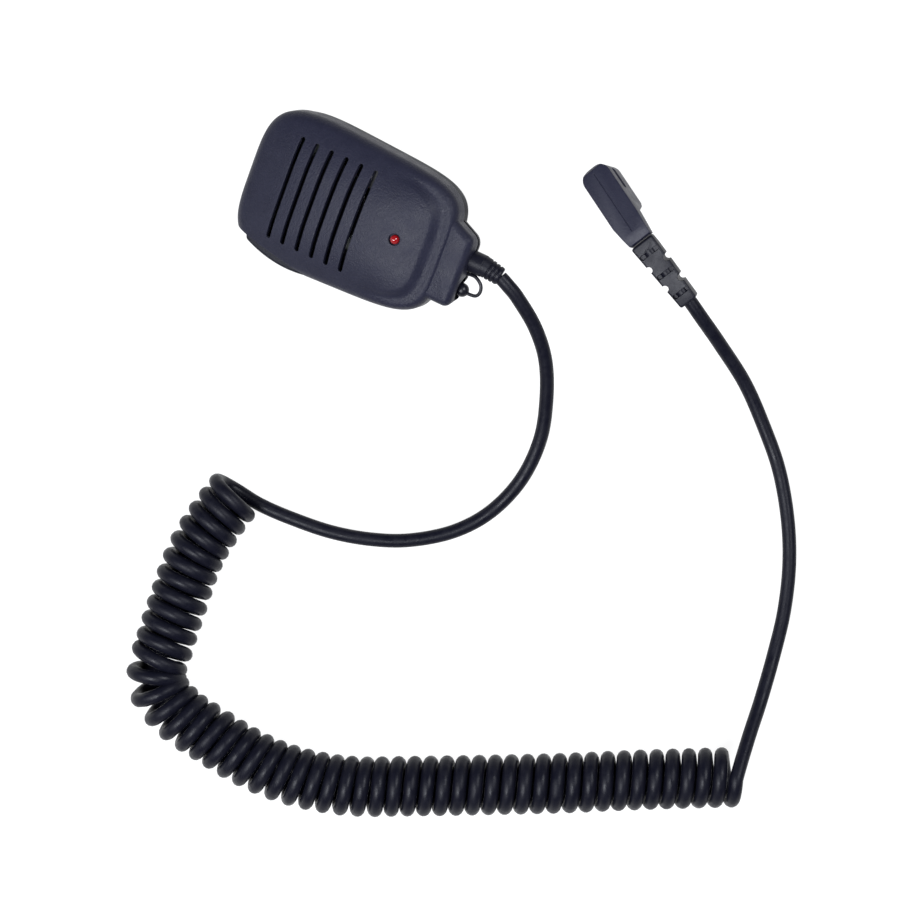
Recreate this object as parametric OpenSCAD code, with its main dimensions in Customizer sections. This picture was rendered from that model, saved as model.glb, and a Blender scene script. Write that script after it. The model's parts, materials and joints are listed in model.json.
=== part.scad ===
// Hand microphone with a push-to-talk key, a swivelling clip, a curly cord and a two-pin plug.
// Millimetres, +Z up. The part lies on the plane z = 0, as it is put down on a table.

/* [Case] */
// Width of the case
case_w = 49.8; // [49:0.2:50.6]
// Length of the case without the cable lug
case_l = 73.4; // [72.6:0.2:74.6]
// Height of the crowned face above the parting plane
face_h = 14; // [13.5:0.1:14.5]
// Depth of the rear shell below the parting plane
rear_h = 9.5; // [9:0.1:10]
// Wall thickness of both shells
wall = 2; // [1.8:0.1:2.2]
// Roundness of the free end's outline, as a superellipse exponent
end_round = 4.1; // [3.8:0.1:4.4]
// Roundness of the cable end's outline, as a superellipse exponent
shoulder_round = 4.8; // [4.4:0.1:5]

/* [Grille and lamp] */
// Number of sound slots
slot_count = 6; // [4:1:7]
// Distance from slot to slot
slot_pitch = 5.45; // [5:0.05:5.6]
// Length of a slot
slot_l = 35.4; // [32:0.2:37]
// Width of a slot
slot_w = 1.6; // [1.2:0.1:2]
// Diameter of the indicator lamp
lamp_d = 3; // [2.8:0.1:3.2]

/* [Cable lug] */
// Distance that the lug stands out past the case
lug_l = 6.9; // [6.6:0.1:7.4]
// Diameter of the strain relief's collar
relief_d = 7.3; // [7:0.1:7.5]
// Bore of the earphone jack
jack_bore = 3.5; // [3.4:0.05:3.6]

/* [Talk key] */
// Length of the talk key
key_l = 26.6; // [25.8:0.2:26.8]
// Distance that the key stands out past the case
key_out = 1.7; // [1.2:0.1:2.2]

/* [Clip] */
// Width of the clip
clip_w = 16; // [15.6:0.2:18]
// Diameter of the swivel stud
stud_d = 8; // [7:0.5:9]

/* [Cord] */
// Diameter of the cord
cord_d = 4.7; // [4.5:0.1:4.8]
// Outer diameter of the curly part
coil_d = 20; // [19:0.5:20]

/* [Plug] */
// Length of the plug's body
plug_l = 29.5; // [29:0.5:30]
// Width of the plug's body
plug_w = 10.3; // [9.8:0.1:10.6]
// Depth of the plug's body at the pins
plug_h = 10.5; // [10:0.1:11]
// Distance from pin to pin
pin_gap = 11.2; // [11:0.1:11.4]
// Diameter and length of the large pin
large_pin = [3.5, 13.5];
// Diameter and length of the small pin
small_pin = [2.5, 11];

/* [Hidden] */

$fn = 48;
eps = 0.01;
cut = 60;                       // larger than any stretch that is cut through

// How the head lies: on its clip and on one lower corner, cable end up
head_at = [-0.1, 10, 23.3];
head_tilt = [-16, -17, 0];

// Case outline and sections
half_w = case_w / 2;
half_l = case_l / 2;
outline_at = [-0.4, -2];        // middle of the case
outline_taper = 0.08;           // the cable end is narrower by this share
outline_n = 72;
face_crown = 5.7;
face_edge = 5;
rear_crown = 0.6;
rear_edge = 6.5;
rear_in = 0.5;                  // the rear shell stands in from the front shell by this
arc_end = 68;
lug_x = [-14.8, 10.2];
lug_flare = 5.5;                // the lug is wider by this on the right where it leaves the case
lug_z = [-5.6, 8];
lug_y = outline_at[1] - half_l - lug_l;
lug_round = [4.4, 3];           // radius of its lower and upper edges

// Sound slots and lamp
slot_top = 18.9;
lamp_y = -22.5;
lamp_recess_d = 3.8;

// Screw posts and stand-offs
post_r = 2.8;
post_top = 8.6;
posts = [[-14, 29], [14, 29], [-15.5, -28], [15.5, -28]];
screw_r = 1.2;
standoff_r = 2.1;
standoff_top = 9.4;
standoffs = [[16.5, 20], [16.5, -19], [-10, -19]];
board_screw_r = 0.8;

// Speaker stack, from the grille down
speaker_at = [0, 7];
speaker_r = 15;
cloth_z = 8.8;
cloth_t = 0.3;
ring_t = 0.8;
frame_top = cloth_z - ring_t;
frame_t = 4.5;
magnet_r = 8;
magnet_t = 3;

// Microphone capsule
mic_at = [14.5, -9];
mic_r = 3;
mic_h = 3;
mic_z = 4.6;

// Circuit board
board_x = [-13.5, 19.5];
board_y = [-23.5, 24];
board_top = -2;
board_t = 1.2;

// Talk key and its switch
key_y = [3, 3 + key_l];
key_z = [-6.8, 5.5];
key_in = [-22.6, -18.4];        // the key's inner face at its two ends
key_bulge_y = 12;               // where the key stands out most
key_curve = 0.0128;             // how fast it falls away from there
key_pin = [-21.6, 4.8];
key_pin_r = 1;
key_gap = 0.6;
key_travel = 1.6;               // room for the key's free end to swing in
switch_at = [-10.5, 20];
switch_h = 3.6;
switch_z = 0;                   // height of the plunger's axis
plunger_r = 1.6;
plunger_end = -16.4;

// Jack, cap and tether
jack_x = -8.8;
jack_r = 3;
jack_l = 13;
jack_recess_r = 4.6;
jack_y = lug_y + 3;
cap_ball_r = 2.3;
cap_ball_y = lug_y - 0.2;
cap_stem_l = 7;
tether_r = 0.5;
tether_route = [[-3.4, lug_y, 0], [-3, lug_y - 1, 0.2], [-3, lug_y - 3.2, 0.5],
    [-4.6, lug_y - 5.6, 0.5], [-7, lug_y - 6.2, 0.3], [-8.8, lug_y - 5, 0.1],
    [-9.1, lug_y - 2.9, 0]];

// Strain relief at the head
relief_x = 1.3;
collar_l = 4.8;
collar_in = 5.2;                // how far the collar reaches into the lug
tail_l = 5.8;
tail_r = [3.3, 2.8];
tail_bend = [12, 0, -11];
flange_r = 4.3;
flange_y = lug_y + 2.6;
flange_t = 1.6;

// Clip
back = -rear_h;
clip_gap = 0.3;
base_t = 2.2;
base_z = back - clip_gap - base_t;
base_y = [-24, 17];
hinge_y = 12;
hinge_z = base_z - 2.9;
hinge_pin_r = 1;
hinge_r = 1.9;
lug_in = 6.1;
lug_out = 7.6;
ear_in = 4.5;
ear_out = 5.8;
jaw_in = hinge_z - 2.2;
jaw_t = 1.7;
stud_r = stud_d / 2;
spring_r = 1.75;
spring_wire_r = 0.35;

// Cord: hand-laid route of its middle line, in the part's own frame
cord_r = cord_d / 2;
coil_r = coil_d / 2;

// Plug
plug_at = [33, -71.9, 17.9];
plug_tilt = [-15, -19, -31.4];
plug_thin = 3.8;                // depth beside the cable
plug_step_y = -4;
plug_round = 4.2;
pin_x = -1;
large_y = 0.6;
small_y = large_y + pin_gap;
plug_relief_l = 25;
plug_relief_bend = [20, 0, 0];

// ---- shapes ----

function unit(v) = v / norm(v);
function power(v, n) = sign(v) * pow(abs(v), 2 / n);

// One ring of the case outline, drawn in by inset
function outline(inset) = [for (i = [0 : outline_n - 1])
    let (a = 360 * i / outline_n,
        n = sin(a) > 0 ? end_round : shoulder_round,
        v = power(sin(a), n))
    [outline_at[0] + (half_w - inset) * (1 + outline_taper * v) * power(cos(a), n),
        outline_at[1] + (half_l - inset) * v]];

function crown_z(inset, top, crown) = top - crown * pow((half_w - inset) / half_w, 2);

// Rings of a pillow shape: side wall, rounded edge and crown, as [inset, z]
function pillow(inset, z0, edge, top, crown) =
    let (edge_in = inset + edge * (1 - cos(arc_end)),
        edge_top = crown_z(edge_in, top, crown),
        arc_z = edge_top - edge * sin(arc_end))
    concat([[inset, z0]],
        [for (a = [0 : arc_end / 4 : arc_end]) [inset + edge * (1 - cos(a)), arc_z + edge * sin(a)]],
        [for (k = [1 : 6])
            let (i = edge_in + (half_w - 1 - edge_in) * k / 6) [i, crown_z(i, top, crown)]]);

// A closed solid through equal rings of points
module loft(rings) {
    n = len(rings[0]);
    m = len(rings);
    points = [for (ring = rings) each ring];
    sides = [for (j = [0 : m - 2], i = [0 : n - 1])
        [j * n + i, (j + 1) * n + i, (j + 1) * n + (i + 1) % n, j * n + (i + 1) % n]];
    ends = [[for (i = [0 : n - 1]) i], [for (i = [n - 1 : -1 : 0]) (m - 1) * n + i]];
    polyhedron(points, concat(sides, ends), convexity = 6);
}

module pillow_solid(inset, z0, edge, top, crown)
    loft([for (p = pillow(inset, z0, edge, top, crown))
        [for (q = outline(p[0])) [q[0], q[1], p[1]]]]);

// A point of the smooth curve through four route points
function curve_point(a, b, c, d, t) =
    0.5 * (2 * b + (c - a) * t + (2 * a - 5 * b + 4 * c - d) * t * t
        + (3 * b - a - 3 * c + d) * t * t * t);

// The smooth curve through a route, with steps points on each span
function curve(route, steps) =
    let (last = len(route) - 1)
    concat([for (i = [0 : last - 1], s = [0 : steps - 1])
        curve_point(route[max(i - 1, 0)], route[i], route[i + 1], route[min(i + 2, last)],
            s / steps)],
        [route[last]]);

// A round tube swept along the points of a path
module tube(path, r, sides) {
    last = len(path) - 1;
    loft([for (i = [0 : last])
        let (along = unit(path[min(i + 1, last)] - path[max(i - 1, 0)]),
            side = unit(cross(along, [0, 0, 1])),
            up = cross(side, along))
        [for (k = [0 : sides - 1])
            let (a = 360 * k / sides)
            path[i] + r * (cos(a) * side + sin(a) * up)]]);
}

module in_head() translate(head_at) rotate(head_tilt) children();
module in_plug() translate(plug_at) rotate(plug_tilt) children();
module along_y() rotate([-90, 0, 0]) children();
module at_each(places) for (p = places) translate([p[0], p[1], 0]) children();
module rod(r, z0, z1) translate([0, 0, z0]) cylinder(r = r, h = z1 - z0);
module ring(r_out, r_in, z0, z1) difference() {
    rod(r_out, z0, z1);
    rod(r_in, z0 - 1, z1 + 1);
}
module block(x, y, z) translate([x[0], y[0], z[0]]) cube([x[1] - x[0], y[1] - y[0], z[1] - z[0]]);

// ---- case ----

module front_half() block([-cut, cut], [-2 * cut, cut], [0, cut]);
module rear_half() block([-cut, cut], [-2 * cut, cut], [-cut, 0]);

// The rounded block at the cable end that holds the jack and the strain relief
module lug() hull()
    for (end = [0, 1], side = [0, 1], back = [0, 1]) {
        r = lug_round[end];
        translate([lug_x[side] + (1 - 2 * side) * r + side * back * lug_flare, lug_y + r + 12 * back,
            lug_z[end] + (1 - 2 * end) * r]) sphere(r = r, $fn = 28);
    }

// What passes through the lug: the jack, the cap's stem and the strain relief
module lug_bores() {
    translate([jack_x, jack_y, 0]) along_y() rod(jack_r, 0, cut);
    translate([jack_x, lug_y - 1, 0]) along_y() rod(jack_recess_r, 0, jack_y - lug_y + 1);
    translate([relief_x, lug_y - 1, 0]) along_y() rod(relief_d / 2, 0, collar_in + 1);
    translate([relief_x, flange_y, 0]) along_y() rod(flange_r, 0, flange_t);
    translate([relief_x, flange_y, 0]) along_y() rod(cord_r + 0.1, 0, cut);
}

// The window in the side wall for the talk key, and the flat above it in the front shell
module key_window() translate([0, 0, key_z[0] - key_gap])
    linear_extrude(key_z[1] - key_z[0] + 2 * key_gap) {
        polygon([[-cut, key_y[0] - key_gap], [key_in[0] + key_gap, key_y[0] - key_gap],
            [key_in[1] + key_travel, key_y[1] + key_gap], [-cut, key_y[1] + key_gap]]);
        translate(key_pin) circle(2.4);
    }
module key_flat() {
    translate([0, 0, key_z[1]]) linear_extrude(cut) polygon([[-24.95, 4.4], [-18.6, 36], [-cut, 36],
        [-cut, -8]]);
    linear_extrude(cut) polygon([[-20, 29], [-18.6, 36], [-cut, 36], [-cut, 29]]);
}

module slot() {
    x = slot_l / 2 - slot_w / 2;
    block([-x, x], [-slot_w / 2, slot_w / 2], [7, cut]);
    for (side = [-1, 1]) translate([side * x, 0, 0]) rod(slot_w / 2, 7, cut);
}

// The lump of wall that holds one end of the key's pin
module key_pin_block(z0, z1) translate(key_pin) block([-1.3, 2], [-1.8, 1.8], [z0, z1]);

module front_shell() color("#33363f") in_head() difference() {
    union() {
        difference() {
            union() {
                pillow_solid(0, 0, face_edge, face_h, face_crown);
                intersection() { lug(); front_half(); }
            }
            pillow_solid(wall, -1, face_edge - 1.2, face_h - wall, face_crown);
        }
        at_each(posts) rod(post_r, 0, post_top);
        at_each(standoffs) rod(standoff_r, board_top, standoff_top);
        translate(speaker_at) ring(speaker_r + 1.3, speaker_r + 0.1, 4, 10.6);
        translate(mic_at) ring(mic_r + 2, mic_r + 1.05, mic_z, 9.8);
        key_pin_block(key_z[1] + key_gap, 7.5);
    }
    for (i = [0 : slot_count - 1]) translate([0, slot_top - i * slot_pitch, 0]) slot();
    translate([0, lamp_y, 0]) rod(lamp_d / 2 + 0.05, 0, cut);
    translate([0, lamp_y, 0]) rod(lamp_recess_d / 2, 12.2, cut);
    at_each(posts) rod(screw_r, -1, 7);
    at_each(standoffs) rod(board_screw_r, board_top - 1, 4);
    key_window();
    key_flat();
    lug_bores();
    translate(key_pin) rod(key_pin_r, 0, 8);
}

module rear_shell() color("#2c2f37") in_head() difference() {
    union() {
        difference() {
            union() {
                mirror([0, 0, 1]) pillow_solid(rear_in, 0, rear_edge, rear_h, rear_crown);
                intersection() { lug(); rear_half(); }
            }
            mirror([0, 0, 1]) pillow_solid(rear_in + wall, -1, rear_edge - 1.8, rear_h - wall, rear_crown);
        }
        at_each(posts) rod(post_r, -rear_h + 1, 0);
        rod(stud_r + 2, -rear_h + 1, -6);
        key_pin_block(-rear_h + 1, key_z[0] - key_gap);
    }
    at_each(posts) rod(screw_r + 0.1, -cut, 1);
    at_each(posts) rod(2.4, -cut, -rear_h + 2);
    rod(stud_r, -cut, 0);
    rod(stud_r + 1, -6.8, 0);
    gasket_groove();
    key_window();
    lug_bores();
    translate(key_pin) rod(key_pin_r, -8.5, 1);
}

// The groove along the parting line, and the cord of rubber in it
module rim(inset, z0) translate([0, 0, z0]) linear_extrude(-z0) polygon(outline(inset));
module gasket_groove() difference() {
    rim(rear_in + 0.6, -0.8);
    translate([0, 0, 1]) rim(rear_in + 1.2, -2.8);
}

module shell_gasket() color("#101114") in_head() difference() {
    gasket_groove();
    translate([0, 0, -1]) linear_extrude(2) difference() {
        square(2 * cut, center = true);
        translate([-cut, -36]) square([2 * cut, 2 * cut]);
    }
    key_window();
}

module case_screws() color("#3a3a3d") in_head() at_each(posts) difference() {
    union() {
        rod(screw_r, -rear_h + 2, 5.5);
        rod(2.2, -rear_h + 0.5, -rear_h + 2);
    }
    for (a = [0, 90]) rotate(a) block([-1.3, 1.3], [-0.3, 0.3], [-cut, -rear_h + 1.3]);
}

// ---- speaker ----

module grille_cloth() color("#15161a") in_head() translate(speaker_at)
    rod(speaker_r, cloth_z, cloth_z + cloth_t);

module speaker_gasket() color("#1c1c1e") in_head() translate(speaker_at)
    ring(speaker_r, speaker_r - 2, frame_top, cloth_z);

module speaker_frame() color("#8d8f93") in_head() translate(speaker_at) rotate_extrude()
    polygon([[5.5, frame_top - frame_t], [10, frame_top - frame_t], [13.2, frame_top - 1],
        [speaker_r, frame_top - 1], [speaker_r, frame_top], [12.8, frame_top],
        [9.6, frame_top - frame_t + 0.8], [5.5, frame_top - frame_t + 0.8]]);

module speaker_magnet() color("#55565a") in_head() translate(speaker_at) {
    z = frame_top - frame_t;
    rod(magnet_r, z - magnet_t, z);
    rod(4, z, z + 0.9);
}

module speaker_cone() color("#222326") in_head() translate(speaker_at) rotate_extrude()
    polygon([[0, frame_top - 1.6], [2.6, frame_top - 2], [4.2, frame_top - 3],
        [9, frame_top - 1.4], [10.6, frame_top - 0.4], [12.2, frame_top - 0.2],
        [12.2, frame_top - 0.5], [10.6, frame_top - 0.8], [9, frame_top - 1.8],
        [4.3, frame_top - 3.5], [0, frame_top - 2.2]]);

module lead(route, r) tube(curve(route, 4), r, 6);

module speaker_leads() color("#7c1f1f") in_head() for (y = [-9.5, -12])
    lead([[9, y + 8, 3.6], [12, y + 6, 2.6], [13, y + 3, 0.6], [12, y + 1, board_top + 0.5]], 0.45);

// ---- microphone capsule ----

module mic_boot() color("#18191b") in_head() translate(mic_at) difference() {
    rod(mic_r + 1, mic_z, mic_z + 3.8);
    rod(mic_r, mic_z - 1, mic_z + mic_h);
    rod(1, 0, cut);
}

module mic_capsule() color("#b9bcc0") in_head() translate(mic_at) {
    rod(mic_r, mic_z + 0.2, mic_z + mic_h);
    rod(mic_r - 0.8, mic_z - 0.2, mic_z + 0.2);
}

module mic_leads() color("#1f5f2f") in_head() for (x = [-1, 1])
    translate([mic_at[0] + x, mic_at[1], 0]) lead([[0, 0, mic_z - 0.2], [-0.6, -1, 3],
        [-1, -2, 0.5], [-0.6, -3, board_top + 0.5]], 0.4);

// ---- circuit board ----

module circuit_board() color("#1f5a34") in_head() difference() {
    block(board_x, board_y, [board_top - board_t, board_top]);
    at_each(standoffs) rod(board_screw_r + 0.2, -cut, 0);
}

module board_parts() color("#26262a") in_head() {
    z = [board_top, board_top + 1.1];
    block([1, 9], [-16, -8], z);
    block([-4.5, -1.5], [-15, -11], z);
    for (i = [0 : 3]) block([-9 + 2.4 * i, -7.4 + 2.4 * i], [-7, -6.2], [board_top, board_top + 0.6]);
    translate([-7.5, -11.5, 0]) rod(2, board_top, board_top + 5);
    block([10, 17.5], [-23.5, -21.3], [board_top, board_top + 3]);
}

module board_screws() color("#8f9095") in_head() at_each(standoffs) {
    rod(board_screw_r, board_top - board_t, 2.5);
    rod(1.6, board_top - board_t - 1, board_top - board_t);
}

module led_lens() color("#c0141c") in_head() translate([0, lamp_y, 0]) {
    rod(lamp_d / 2, 8, 12.4);
    translate([0, 0, 12.4]) sphere(r = lamp_d / 2 - 0.02);
    rod(lamp_d / 2 + 0.4, 7, 8);
}

module led_legs() color("#b9bcc0") in_head() translate([0, lamp_y, 0]) for (x = [-1.27, 1.27])
    block([x - 0.25, x + 0.25], [-0.25, 0.25], [board_top - board_t, 7]);

// ---- talk key ----

module ptt_switch() color("#26272b") in_head() translate([switch_at[0], switch_at[1], 0]) difference() {
    block([-3, 3], [-3, 3], [board_top, board_top + switch_h]);
    translate([-3 - eps, 0, switch_z]) rotate([0, 90, 0]) rod(plunger_r + 0.05, 0, 3.2);
}

module ptt_plunger() color("#8f9095") in_head() translate([0, switch_at[1], switch_z])
    rotate([0, 90, 0]) rod(plunger_r, plunger_end, switch_at[0] - 1.4);

// The key's outer edge, a shallow arc
function key_edge(y) = [-half_w - key_out + key_curve * pow(y - key_bulge_y, 2), y];

module ptt_button() color("#1b1c21") in_head() difference() {
    union() {
        translate([0, 0, key_z[0]]) linear_extrude(key_z[1] - key_z[0])
            polygon(concat([for (k = [0 : 12]) key_edge(key_y[0] + (key_l - 1) * k / 12)],
                [[key_in[1] - 1.4, key_y[1]], [key_in[1], key_y[1]], [key_in[0], key_y[0]]]));
        block([-20.6, plunger_end - 0.2], [switch_at[1] - 1.6, switch_at[1] + 1.6], [-1.6, 1.6]);
        translate(key_pin) rod(1.9, key_z[0], key_z[1]);
    }
    translate(key_pin) rod(key_pin_r + 0.05, -cut, cut);
}

module ptt_pin() color("#b9bcc0") in_head() translate(key_pin) rod(key_pin_r, -8.4, 7.8);

// ---- jack, cap and tether ----

module earphone_jack() color("#2a2b2f") in_head() translate([jack_x, jack_y, 0]) along_y() difference() {
    union() {
        rod(jack_r, 0, jack_l);
        rod(jack_r - 0.8, jack_l, jack_l + 1.5);
    }
    rod(jack_bore / 2, -1, jack_l - 1);
}

module jack_cap() color("#141519") in_head() translate([jack_x, 0, 0]) {
    translate([0, cap_ball_y, 0]) sphere(r = cap_ball_r);
    translate([0, cap_ball_y, 0]) along_y() rod(1.5, 0, jack_y - cap_ball_y - 0.5);
    translate([0, jack_y - 0.8, 0]) along_y() rod(2.7, 0, 0.7);
    translate([0, jack_y - 0.2, 0]) along_y() rod(jack_bore / 2 - 0.08, 0, cap_stem_l);
}

module cap_tether() color("#141519") in_head() tube(curve(tether_route, 5), tether_r, 8);

// ---- strain relief and clamp ----

module strain_relief() color("#15161a") in_head() translate([relief_x, 0, 0]) {
    translate([0, flange_y, 0]) along_y() rod(flange_r, 0, flange_t);
    translate([0, lug_y - collar_l, 0]) along_y() rod(relief_d / 2, 0, collar_l + collar_in);
    translate([0, lug_y - collar_l, 0]) sphere(r = relief_d / 2 - 0.1);
    translate([0, lug_y - collar_l, 0]) rotate(tail_bend) rotate([90, 0, 0]) {
        rod(tail_r[1], 0, tail_l);
        for (k = [0 : 2]) rod(tail_r[0] - 0.15 * k, 1.2 + 1.9 * k, 2.3 + 1.9 * k);
    }
}

// The cord inside the head, its clamp plate and its cores
tail_y = [lug_y + collar_in, -24.5];
module cord_tail() color("#1a1b1f") in_head() translate([relief_x, tail_y[0], 0]) along_y()
    rod(cord_r, 0, tail_y[1] - tail_y[0]);

module cord_clamp() color("#a4a6aa") in_head() difference() {
    block([relief_x - 6.2, relief_x + 6.2], [-33.5, -29.5], [cord_r, cord_r + 1]);
    for (x = [-4.6, 4.6]) translate([relief_x + x, -31.5, 0]) rod(0.9, 0, 9);
}

module clamp_screws() color("#8f9095") in_head() for (x = [-4.6, 4.6])
    translate([relief_x + x, -31.5, 0]) {
        rod(0.8, 0.2, cord_r + 1);
        rod(1.5, cord_r + 1, cord_r + 1.9);
    }

module cord_cores() color("#9a2b2b") in_head() for (k = [-1 : 1])
    lead([[relief_x + 0.45 + 1.45 * k, tail_y[1] + 0.5, 0],
        [relief_x + 1.4 + 1.6 * k, tail_y[1] + 1, -0.3], [relief_x + 3.7 + 2 * k, tail_y[1] + 2.4, -0.9],
        [relief_x + 4 + 2.2 * k, tail_y[1] + 4.2, board_top + 0.4]], 0.3);

// ---- clip ----

module clip_stud() color("#a4a6aa") in_head() difference() {
    union() {
        rod(stud_r, base_z - 0.3, -6);
        rod(stud_r + 1, -6.8, -5.4);
    }
    rod(1.25, base_z - 1, -6.5);
}

module clip_washer() color("#b9bcc0") in_head() ring(stud_r + 1.2, 1.3, base_z - 0.9, base_z - 0.3);

module clip_screw() color("#8f9095") in_head() difference() {
    union() {
        rod(1.25, base_z - 0.9, -7);
        rod(2.6, base_z - 2.1, base_z - 0.9);
    }
    for (a = [0, 90]) rotate(a) block([-1.5, 1.5], [-0.3, 0.3], [-cut, base_z - 1.5]);
}

module clip_base() color("#1d1e23") in_head() difference() {
    union() {
        translate([0, 0, base_z]) linear_extrude(base_t) offset_plate(clip_w, base_y);
        for (side = [-1, 1]) translate([side * (lug_in + lug_out) / 2, hinge_y, 0]) {
            w = (lug_out - lug_in) / 2;
            translate([-w, 0, hinge_z]) rotate([0, 90, 0]) rod(hinge_r, 0, 2 * w);
            block([-w, w], [-hinge_r, hinge_r], [hinge_z, base_z + eps]);
        }
    }
    rod(stud_r + 0.06, -cut, 0);
    translate([-cut / 2, hinge_y, hinge_z]) rotate([0, 90, 0]) rod(hinge_pin_r, 0, cut);
}

// A flat plate outline with round corners of 3 mm
module offset_plate(w, y) {
    c = 3;
    translate([-w / 2 + c, y[0]]) square([w - 2 * c, y[1] - y[0]]);
    translate([-w / 2, y[0] + c]) square([w, y[1] - y[0] - 2 * c]);
    for (x = [-w / 2 + c, w / 2 - c], yy = [y[0] + c, y[1] - c]) translate([x, yy]) circle(c);
}

module clip_jaw() color("#1d1e23") in_head() difference() {
    out = jaw_in - jaw_t;
    union() {
        intersection() {
            translate([-clip_w / 2, 0, 0]) rotate([90, 0, 90]) linear_extrude(clip_w) polygon([
                [20, -14.8], [20, -16.3], [15, out + 0.3], [12, out], [-13, out], [-21, out + 1.6],
                [-24.5, base_z - 2.4], [-24.5, base_z - 0.4], [-23, base_z - 0.4],
                [-22.3, base_z - 1.6], [-21.6, base_z - 0.4], [-20.4, base_z - 0.4],
                [-19.8, base_z - 2.2], [-18.5, jaw_in + 0.8], [-12.5, jaw_in], [13, jaw_in],
                [15, jaw_in + 0.4]]);
            translate([0, 0, -cut / 2]) linear_extrude(cut) offset_plate(clip_w, [-24.5, 20]);
        }
        for (side = [-1, 1]) translate([side * (ear_in + ear_out) / 2, hinge_y, 0]) {
            w = (ear_out - ear_in) / 2;
            translate([-w, 0, hinge_z]) rotate([0, 90, 0]) rod(hinge_r, 0, 2 * w);
            block([-w, w], [-hinge_r, hinge_r], [jaw_in - eps, hinge_z]);
        }
    }
    translate([-cut / 2, hinge_y, hinge_z]) rotate([0, 90, 0]) rod(hinge_pin_r + 0.05, 0, cut);
}

module clip_pin() color("#b9bcc0") in_head() translate([0, hinge_y, hinge_z]) rotate([0, 90, 0])
    rod(hinge_pin_r, -clip_w / 2 + 0.3, clip_w / 2 - 0.3);

spring_turns = 5;
spring_steps = 14;
module clip_spring() color("#8f9095") in_head() translate([0, hinge_y, hinge_z])
    loft([for (i = [0 : spring_turns * spring_steps])
        let (a = 360 * i / spring_steps, x = -3.6 + 7.2 * i / (spring_turns * spring_steps))
        [for (k = [0 : 5])
            let (b = -60 * k, r = spring_r + spring_wire_r * cos(b))
            [x + spring_wire_r * sin(b), r * cos(a), r * sin(a)]]]);

// ---- cord ----

head_route = [[-4.2, -44.1, 36.4], [-5.9, -47.5, 36], [-8.5, -52, 34.5], [-15, -60.5, 30],
    [-23.5, -67.5, 24.5], [-35, -72.5, 18], [-48, -75.5, 12], [-62.5, -74.5, 7.5], [-76, -69, 4.5],
    [-86.5, -60, 3], [-94.5, -47.5, 2.4], [-99, -35, 2.4], [-101.5, -21.5, 2.4], [-102, -7, 2.4],
    [-101.5, 3.5, 2.4], [-100, 12, 2.4]];
coil_route = [[-100, 11.5, 10], [-110.5, 14.5, 10], [-120.5, 16.5, 10], [-129, 17, 10],
    [-139.5, 16.5, 10], [-150, 16, 10], [-156.5, 15.5, 10], [-164, 15, 10], [-170.5, 11.5, 10],
    [-175.5, 2, 10], [-178, -9.5, 10], [-180, -20, 10], [-181, -31, 10], [-180.5, -41.5, 10],
    [-178.5, -53, 10], [-175.5, -63, 10], [-171.5, -73, 10], [-163, -94, 10], [-151, -123, 10],
    [-140.5, -147, 10], [-128.5, -175.5, 10]];
plug_route = [[-127, -175.5, 17.3], [-114.5, -175, 12], [-102, -175, 6.5], [-86.5, -174, 3],
    [-71.5, -172, 2.4], [-56.5, -168, 2.4], [-42.5, -162, 2.4], [-28.5, -153.5, 2.8], [-17, -143.5, 4.5],
    [-6, -132, 8.5], [2.5, -119.5, 14.5], [8, -110.5, 19.5], [11.8, -104.5, 21.6]];

module head_cord() color("#1a1b1f") tube(curve(head_route, 1), cord_r, 10);
module coil_cord() color("#1a1b1f") tube(curve(coil_route, 2), coil_r, 12);
module plug_cord() color("#1a1b1f") tube(curve(plug_route, 2), cord_r, 10);

// ---- plug ----

module plug_plan() {
    w = plug_w / 2;
    y0 = -plug_l / 2;
    y1 = plug_l / 2;
    c = plug_round;
    translate([-w, y0 + 8]) square([plug_w, plug_l - 8 - c]);
    translate([-w + c, y0 + 8]) square([plug_w - 2 * c, plug_l - 8]);
    for (x = [-w + c, w - c]) translate([x, y1 - c]) circle(c);
    polygon([[-w, y0 + 8], [-w + 1.2, y0], [w - 0.6, y0], [w, y0 + 8]]);
}

module plug_side() {
    y0 = -plug_l / 2;
    y1 = plug_l / 2;
    z0 = -plug_h / 2;
    z1 = plug_h / 2;
    polygon([[y0, z1 - 0.8], [y0, z1 - plug_thin], [plug_step_y - 2, z1 - plug_thin],
        [plug_step_y, z0 + 1.8], [plug_step_y + 1.6, z0], [y1 - 1.4, z0], [y1, z0 + 1.6],
        [y1, z1 - 1.2], [y1 - 1, z1], [y0 + 3, z1]]);
}

module pin_hole(y, d) translate([pin_x, y, -plug_h / 2 - 1]) cylinder(r = d / 2, h = 4.5);

module plug_body() color("#1c1d24") in_plug() difference() {
    intersection() {
        translate([0, 0, -plug_h]) linear_extrude(2 * plug_h) plug_plan();
        translate([-plug_w, 0, 0]) rotate([90, 0, 90]) linear_extrude(2 * plug_w) plug_side();
    }
    pin_hole(large_y, large_pin[0] - 0.8);
    pin_hole(small_y, small_pin[0] - 0.8);
    for (side = [-1, 1], y = [4.5 : 1 : 10.5])
        translate([side * (plug_w / 2 + 1.2), y, 0.6]) rotate([0, 90, 0]) rod(1.6, -1.9, 1.9);
}

// A pin is a thinner shank in the body, then a turned sleeve with two insulating rings and a rounded tip
module pin_profile(r, l) rotate_extrude() polygon([[0, 3.2], [r - 0.4, 3.2], [r - 0.4, 0], [r, 0],
    [r, -l * 0.42], [r - 0.3, -l * 0.42], [r - 0.3, -l * 0.48], [r, -l * 0.48], [r, -l * 0.68],
    [r - 0.3, -l * 0.68], [r - 0.3, -l * 0.74], [r, -l * 0.74], [r, -l * 0.82], [r * 0.7, -l * 0.86],
    [r * 0.95, -l * 0.92], [r * 0.5, -l], [0, -l]]);

module plug_pin_large() color("#c9c4b4") in_plug() translate([pin_x, large_y, -plug_h / 2])
    pin_profile(large_pin[0] / 2, large_pin[1]);

module plug_pin_small() color("#c9c4b4") in_plug() translate([pin_x, small_y, -plug_h / 2])
    pin_profile(small_pin[0] / 2, small_pin[1]);

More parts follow.
